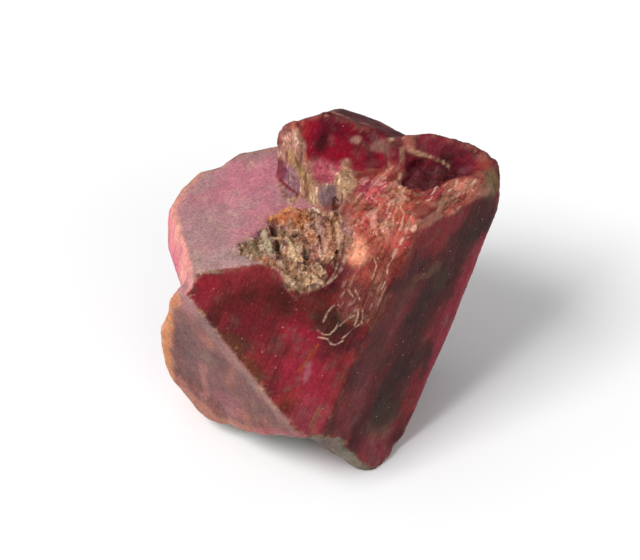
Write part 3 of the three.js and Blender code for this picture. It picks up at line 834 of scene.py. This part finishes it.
def bruisedTone(tone, p, edge, paint):
    # worn edges, where the red is ground to a pale powder, and ochre on the left edge of the front
    tone = blend(tone, "a07862", edge * smooth(0.42, 0.66, clouds(p, 0.7, 380, 3)) * paint["bruises"])
    tone = blend(tone, "ccb08c", edge * smooth(0.66, 0.72, clouds(p, 0.35, 385, 2)) * paint["flecks"])
    ochre = beside(p, ochreEdge, 0.3, 0.5, 0.4, 390) * smooth(0.54, 0.70, clouds(p, 0.45, 391, 3))
    return blend(tone, "a4845c", ochre * paint["ochreEdge"])


def crustTone(p, ground):
    # iron-stained ground: broad zones, plates in them and fine threads over all, with painted glints on the
    # raised threads and painted shade between them
    strands, upper = ground["strands"], ground["upper"]
    rust = blend(flat("b05442", len(p)), "8c382c", smooth(0.42, 0.60, clouds(p, 1.6, 415, 3)))
    rust = mixed(rust, picked(ground["plateNumber"], crustTones), 0.25 + 0.1 * upper)
    rust = zoned(rust, p, crustZones, 0.4, 0.9, 420, 0.4)
    rust = mixed(rust, picked(ground["shardNumber"], crustTones), 0.07 + 0.33 * upper)
    rust = blend(rust, "9c8460", smooth(0.60, 0.70, clouds(p, 0.8, 440, 3)) * (0.1 + 0.3 * upper))
    # painted shade between the raised strands, and painted glints on them
    rust = blend(rust, "4c1a18", smooth(0.42, 0.28, strands) * 0.5)
    rust = blend(rust, "e8c0ac", smooth(0.66, 0.76, strands) * (0.15 + 0.45 * upper))
    return blend(rust, "ec9c78", ground["lump"] * 0.9)


def stepTone(p, ground):
    # step behind the crown: smooth facets between ribs, pale on the raised ribs as painted highlight and dark
    # in the grooves as painted shade
    ribs, ribbed = ground["ribs"], ground["ribbed"]
    step = zoned(flat("986c5c", len(p)), p, stepZones, 0.25, 0.7, 450, 0.25)
    step = blend(step, "a07c50", beside(p, ochreStep, 0.5, 0.5, 0.6, 460) * 0.8)
    # painted highlight on the raised ribs and painted shade in the grooves between them
    step = blend(step, "dcc0a4", smooth(0.56, 0.68, ribs) * ribbed * 0.6)
    step = blend(step, "502824", smooth(0.45, 0.32, ribs) * ribbed * 0.65)
    return blend(step, "6c1c20", beside(p, darkFoot, 0.22, 0.3, 0.6, 461) * 0.9)


def rockTone(p, ground):
    # host rock: chips of several minerals, crack lines, painted highlight on raised splinters and painted
    # shade below them
    splinters = ground["splinters"]
    cracks = fibres(p, 1.0, 0.24, 485, 3)
    # pale: painted highlight on the raised splinters and pale crack lines; dark: painted shade in the grooves
    # and dark crack lines
    pale = np.maximum(smooth(0.60, 0.70, splinters), smooth(0.64, 0.74, cracks))
    dark = np.maximum(smooth(0.38, 0.28, splinters), smooth(0.36, 0.26, cracks))
    stone = picked(ground["rockNumber"], rockTones) * 0.6 + picked(ground["chipNumber"], rockTones) * 0.4
    stone = zoned(stone, p, rockZones, 0.4, 0.7, 470, 0.3)
    stone = blend(blend(stone, "dec2ac", pale * 0.5), "38221a", dark * 0.65)
    for shard, (*_, colour) in zip(ground["shards"], shards):
        stone = blend(stone, colour, shard * 0.75)
    # painted shade: the holes and crevices are painted near black
    return blend(stone, "1c0f0c", ground["hole"] * 0.85)


def hollowTone(p, ground):
    lines = fibres(p, 1.6, 0.5, 460, 3, shardFrame)
    return blend(flat("3c0e16", len(p)), "5e2830", smooth(0.45, 0.7, lines))


def keepOnPoints(mesh, name, values, kind):
    layer = mesh.attributes.new(name, kind, "POINT")
    field = "color" if kind == "FLOAT_COLOR" else "value"
    layer.data.foreach_set(field, np.ascontiguousarray(values, np.float32).ravel())


def paintCluster(piece, ground, paint):
    mesh = piece.data
    p = pointsOf(mesh)
    n = relaxed(normalsOf(mesh), edgesOf(mesh), 3)
    n /= np.linalg.norm(n, axis=1)[:, None]

    tone, share = faceTone(p, n)
    tone = stainedTone(tone, share, p)
    tone = bruisedTone(tone, p, ground["edge"], paint)
    tone = mixed(tone, crustTone(p, ground), ground["crust"] * 0.94)
    tone = mixed(tone, stepTone(p, ground), ground["riser"])
    tone = mixed(tone, rockTone(p, ground), ground["rock"])
    tone = mixed(tone, hollowTone(p, ground), ground["hollow"] * 0.85)
    tone = blend(tone, "b4685a", ground["knob"] * 0.7)
    worn = smooth(0.3, 0.6, clouds(p, 0.4, 465, 3))
    tone = blend(tone, "a8886a", ground["ridge"] * worn * 0.75)
    worn = smooth(0.28, 0.55, clouds(p, 0.6, 470, 3))
    tone = blend(tone, "c8a48e", ground["thread"] * worn * paint["threads"])

    # light and dark over all, and brown clouds on the growth faces
    broken = np.clip(ground["rock"] + 0.45 * ground["crust"] + 0.9 * ground["riser"], 0, 1)
    tone *= (1 + paint["mottling"] * (clouds(p, 0.9, 480, 4, 0.7) - 0.5))[:, None]
    brown = tone.mean(axis=1)[:, None] * np.array(paint["brown"])
    browned = smooth(0.5, 0.75, clouds(p, 0.7, 490, 4, 0.7)) * paint["browning"] * (1 - broken)
    tone = mixed(tone, brown, browned)

    colour = np.concatenate([np.clip(tone, 0, 1), np.ones((len(p), 1))], axis=1)
    keepOnPoints(mesh, "tone", colour, "FLOAT_COLOR")
    keepOnPoints(mesh, "rock", ground["rock"], "FLOAT")
    keepOnPoints(mesh, "broken", broken, "FLOAT")


def addNode(tree, kind, settings=None, links=None):
    node = tree.nodes.new(kind)
    for name, value in (settings or {}).items():
        if isinstance(name, int) or name in node.inputs:
            node.inputs[name].default_value = value
        else:
            setattr(node, name, value)
    for name, source in (links or {}).items():
        tree.links.new(source, node.inputs[name])
    return node


def span(low, high, start, end):
    # settings that turn values from low to high into values from start to end
    return {"From Min": low, "From Max": high, "To Min": start, "To Max": end}


spinelLook = {
    "ior": 1.718,                # spinel
    "gloss": 0.05,               # an etched face sends back less than a polished one
    "cleanRoughness": 0.45,      # natural faces, finely etched
    "rockRoughness": 0.66,
    "glow": 0.12,                # share of the light that enters and comes back red
    "glowDepth": 0.6,            # mm
    "mottle": 0.26,              # mm across
    "calmMottle": (0.72, 1.28),  # darkest and lightest, on growth faces
    "wildMottle": (0.45, 1.60),  # the same on broken ground
    "lineLength": 2.4,           # mm, the growth lines
    "lineWidth": 0.16,           # mm
    "lineShade": (0.80, 1.20),
    "lineBump": 0.03,            # mm
    "flawLength": 0.5,           # mm
    "flawWidth": 0.12,           # mm
    "scratches": 0.3,
    "scratchColour": "c08080",
    "dents": 0.6,                # darkest
    "speckSpacing": 0.55,        # mm
    "speckSize": 0.12,           # share of the spacing
    "speckAndGlintColour": "dcb8b0",
    "specks": (0.4, 0.8),        # on growth faces and on broken ground
    "gritSize": 0.20,            # mm
    "gritBump": 0.05,            # mm
}


def spinelMaterial(look):
    # Raw spinel: a hard, glassy mineral with etched natural faces, deep red with light lost in it.
    material = bpy.data.materials.new("raw spinel with host rock")
    material.use_nodes = True
    tree = material.node_tree
    tree.nodes.clear()
    place = addNode(tree, "ShaderNodeTexCoord").outputs["Object"]
    tone = addNode(tree, "ShaderNodeAttribute", {"attribute_name": "tone"}).outputs["Color"]
    rock = addNode(tree, "ShaderNodeAttribute", {"attribute_name": "rock"}).outputs["Fac"]
    broken = addNode(tree, "ShaderNodeAttribute", {"attribute_name": "broken"}).outputs["Fac"]

    # fine mottling, stronger on broken ground
    mottle = addNode(tree, "ShaderNodeTexNoise",
                     {"Scale": 1 / (look["mottle"] * mm), "Detail": 4.0, "Roughness": 0.7},
                     {"Vector": place}).outputs["Fac"]
    calm, wild = (addNode(tree, "ShaderNodeMapRange", span(0.3, 0.7, *look[kind]),
                          {"Value": mottle}).outputs["Result"] for kind in ("calmMottle", "wildMottle"))
    shade = addNode(tree, "ShaderNodeMix", {"data_type": "FLOAT"},
                    {"Factor": broken, "A": calm, "B": wild}).outputs[0]

    # growth lines, and short flaws that follow them
    turn = tuple(Matrix(growthFrame).transposed().to_euler())
    drawn = {}
    for kind, detail, roughness in (("line", 3.0, 0.6), ("flaw", 2.0, 0.5)):
        length, width = look[kind + "Length"] * mm, look[kind + "Width"] * mm
        along = addNode(tree, "ShaderNodeMapping",
                        {"vector_type": "TEXTURE", "Rotation": turn, "Scale": (length, width, width)},
                        {"Vector": place}).outputs[0]
        drawn[kind] = addNode(tree, "ShaderNodeTexNoise",
                              {"Scale": 1.0, "Detail": detail, "Roughness": roughness},
                              {"Vector": along}).outputs["Fac"]
    lineShade = addNode(tree, "ShaderNodeMapRange", span(0.3, 0.7, *look["lineShade"]),
                        {"Value": drawn["line"]}).outputs["Result"]
    both = addNode(tree, "ShaderNodeMath", {"operation": "MULTIPLY"}, {0: shade, 1: lineShade}).outputs[0]
    mottled = addNode(tree, "ShaderNodeVectorMath", {"operation": "SCALE"},
                      {0: tone, "Scale": both}).outputs[0]
    scratch = addNode(tree, "ShaderNodeMapRange", span(0.66, 0.78, 0.0, look["scratches"]),
                      {"Value": drawn["flaw"]}).outputs["Result"]
    dent = addNode(tree, "ShaderNodeMapRange", span(0.38, 0.26, 1.0, look["dents"]),
                   {"Value": drawn["flaw"]}).outputs["Result"]
    dented = addNode(tree, "ShaderNodeVectorMath", {"operation": "SCALE"},
                     {0: mottled, "Scale": dent}).outputs[0]
    scratched = addNode(tree, "ShaderNodeMix", {"data_type": "RGBA", 7: (*linear(look["scratchColour"]), 1)},
                        {"Factor": scratch, 6: dented}).outputs[2]

    # pale specks: partly tiny bruises, partly painted glints
    cells = addNode(tree, "ShaderNodeTexVoronoi", {"Scale": 1 / (look["speckSpacing"] * mm)},
                    {"Vector": place})
    size = addNode(tree, "ShaderNodeSeparateColor", links={"Color": cells.outputs["Color"]}).outputs[0]
    reach = addNode(tree, "ShaderNodeMapRange", span(0.6, 1.0, 0.0, look["speckSize"]),
                    {"Value": size}).outputs["Result"]
    speck = addNode(tree, "ShaderNodeMath", {"operation": "LESS_THAN"},
                    {0: cells.outputs["Distance"], 1: reach}).outputs[0]
    glint = addNode(tree, "ShaderNodeMapRange", span(0.0, 1.0, *look["specks"]),
                    {"Value": broken}).outputs["Result"]
    speckWeight = addNode(tree, "ShaderNodeMath", {"operation": "MULTIPLY"}, {0: speck, 1: glint}).outputs[0]
    specked = addNode(tree, "ShaderNodeMix", {"data_type": "RGBA", 7: (*linear(look["speckAndGlintColour"]), 1)},
                      {"Factor": speckWeight, 6: scratched}).outputs[2]

    # surface: gloss, fine grit and the relief of the growth lines
    rough = addNode(tree, "ShaderNodeMapRange", span(0.0, 1.0, look["cleanRoughness"], look["rockRoughness"]),
                    {"Value": rock}).outputs["Result"]
    grit = addNode(tree, "ShaderNodeTexNoise",
                   {"Scale": 1 / (look["gritSize"] * mm), "Detail": 5.0, "Roughness": 0.6},
                   {"Vector": place}).outputs["Fac"]
    gritBump = addNode(tree, "ShaderNodeBump", {"Strength": 0.5, "Distance": look["gritBump"] * mm},
                       {"Height": grit}).outputs["Normal"]
    bump = addNode(tree, "ShaderNodeBump", {"Strength": 0.35, "Distance": look["lineBump"] * mm},
                   {"Height": drawn["line"], "Normal": gritBump}).outputs["Normal"]
    shader = addNode(tree, "ShaderNodeBsdfPrincipled",
                     {"IOR": look["ior"], "Specular IOR Level": look["gloss"],
                      "Subsurface Weight": look["glow"], "Subsurface Scale": look["glowDepth"] * mm,
                      "Subsurface Radius": (1.0, 0.25, 0.3)},
                     {"Base Color": specked, "Roughness": rough, "Normal": bump})
    output = addNode(tree, "ShaderNodeOutputMaterial", links={"Surface": shader.outputs[0]})
    output.is_active_output = True
    return material


def floorMaterial():
    # White matt card: even and pale, with no gloss of its own.
    material = bpy.data.materials.new("white matt card")
    material.use_nodes = True
    shader = material.node_tree.nodes["Principled BSDF"]
    shader.inputs["Base Color"].default_value = (*linear("f2f2f3"), 1)
    shader.inputs["Roughness"].default_value = 0.9
    shader.inputs["Specular IOR Level"].default_value = 0.1
    return material


studio = {
    "target": (-0.84, -4.44, 16.11),   # mm, in the part's frame
    "elevation": 42,                   # degrees
    "distance": 218,                   # mm
    "lens": 150,                       # mm
    "floorHalf": 4000,                 # mm
    "roomStrength": 0.32,
}

# Lights: name, place in mm, width and depth in mm, watts.
lights = [
    ("key light", (-750, -450, 1150), (700, 700), 18.7),
    ("front softbox", (900, -1300, 900), (1800, 1000), 9.4),
    ("left softbox", (-1500, 200, 700), (1400, 1000), 4.2),
    ("back softbox", (0, 1600, 900), (1800, 1000), 3.0),
]


def buildStudio(s):
    scene = bpy.context.scene
    camera = bpy.data.objects.new("camera", bpy.data.cameras.new("camera"))
    camera.data.lens = s["lens"]
    camera.data.clip_start = 1 * mm
    tilt = math.radians(s["elevation"])
    away = Vector((0, -math.cos(tilt), math.sin(tilt))) * s["distance"]
    camera.location = (Vector(s["target"]) + away) * mm
    camera.rotation_euler = (math.radians(90) - tilt, 0, 0)
    scene.collection.objects.link(camera)
    scene.camera = camera

    half = s["floorHalf"] * mm
    floorMesh = bpy.data.meshes.new("floor")
    rim = [(-half, -half, 0), (half, -half, 0), (half, half, 0), (-half, half, 0)]
    floorMesh.from_pydata(rim, [], [(0, 1, 2, 3)])
    floor = bpy.data.objects.new("floor", floorMesh)
    floor.data.materials.append(floorMaterial())
    scene.collection.objects.link(floor)

    for name, place, size, watts in lights:
        lamp = bpy.data.objects.new(name, bpy.data.lights.new(name, "AREA"))
        lamp.data.shape = "RECTANGLE"
        lamp.data.size, lamp.data.size_y = (side * mm for side in size)
        lamp.data.energy = watts
        lamp.location = Vector(place) * mm
        lamp.rotation_euler = (-lamp.location).to_track_quat("-Z", "Y").to_euler()
        lamp.visible_camera = False
        scene.collection.objects.link(lamp)

    world = bpy.data.worlds.new("soft room")
    world.use_nodes = True
    background = world.node_tree.nodes["Background"]
    background.inputs["Color"].default_value = (1, 1, 1, 1)
    background.inputs["Strength"].default_value = s["roomStrength"]
    scene.world = world
    scene.view_settings.view_transform = "Standard"


buildStudio(studio)
print("studio: camera, floor and lights in place")

cluster = denseCopy(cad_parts["spinel_crystal"], clusterShape["pointStep"])
ground = shapeCluster(cluster, clusterShape)
print("crystal cluster:", len(cluster.data.vertices), "points")
paintCluster(cluster, ground, clusterPaint)
cluster.data.materials.clear()
cluster.data.materials.append(spinelMaterial(spinelLook))
rough = ground["rock"] > 0.5
for polygon in cluster.data.polygons:
    polygon.use_smooth = not all(rough[corner] for corner in polygon.vertices)
    polygon.material_index = 0
triangles = sum(len(polygon.vertices) - 2 for polygon in cluster.data.polygons)
print("crystal cluster: coloured,", triangles, "triangles")

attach(cluster, "root")
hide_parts("spinel_crystal")
